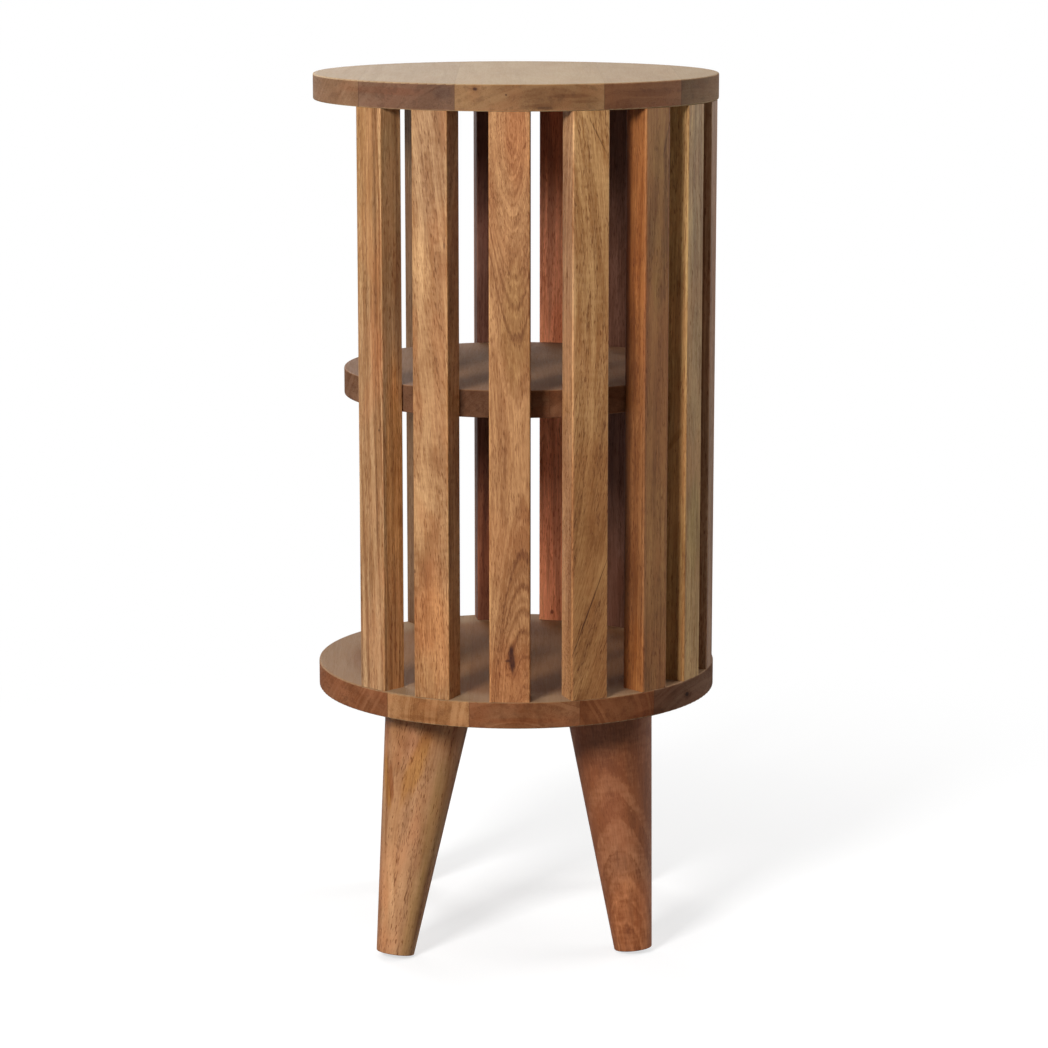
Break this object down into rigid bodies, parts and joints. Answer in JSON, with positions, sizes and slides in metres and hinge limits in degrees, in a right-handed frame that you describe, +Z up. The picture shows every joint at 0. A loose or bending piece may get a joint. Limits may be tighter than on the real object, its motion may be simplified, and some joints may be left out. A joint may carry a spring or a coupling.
{
  "type": "end table",
  "caption": "Round slatted wooden end table with an inner shelf, open on one side, on splayed tapered legs.",
  "frame": {"origin": "on the floor, under the middle of the round discs", "axes": "+Z up; -Y is the front, the open side through which the shelf is reached; +X is the right-hand side seen from the front"},
  "size_m": [0.3, 0.3, 0.65],
  "materials": {
    "mango_panel": "edge-glued mango boards, satin clear coat",
    "mango_golden": "honey-toned mango, satin clear coat",
    "mango_orange": "orange-toned mango, satin clear coat",
    "mango_brown": "brown mango heartwood, satin clear coat",
    "mango_grey": "grey-brown mango, satin clear coat",
    "mango_leg": "turned mango, satin clear coat",
    "beech_dowel": "bare beech",
    "zinc_steel": "zinc-plated steel",
    "brass_insert": "turned brass"
  },
  "bodies": {
    "root": {"top_panel": "mango_panel", "shelf": "mango_panel", "base_panel": "mango_panel", "slat_01": "mango_golden", "slat_02": "mango_orange", "slat_03": "mango_golden", "slat_04": "mango_golden", "slat_05": "mango_orange", "slat_06": "mango_brown", "slat_07": "mango_grey", "slat_08": "mango_brown", "slat_09": "mango_brown", "slat_10": "mango_brown", "slat_11": "mango_orange", "slat_12": "mango_brown", "slat_13": "mango_brown", "leg_front_right": "mango_leg", "leg_back_right": "mango_leg", "leg_back_left": "mango_leg", "leg_front_left": "mango_leg", "top_dowels": "beech_dowel", "shelf_dowels": "beech_dowel", "slat_screws": "zinc_steel", "hanger_bolts": "zinc_steel", "threaded_inserts": "brass_insert"}
  },
  "joints": []
}
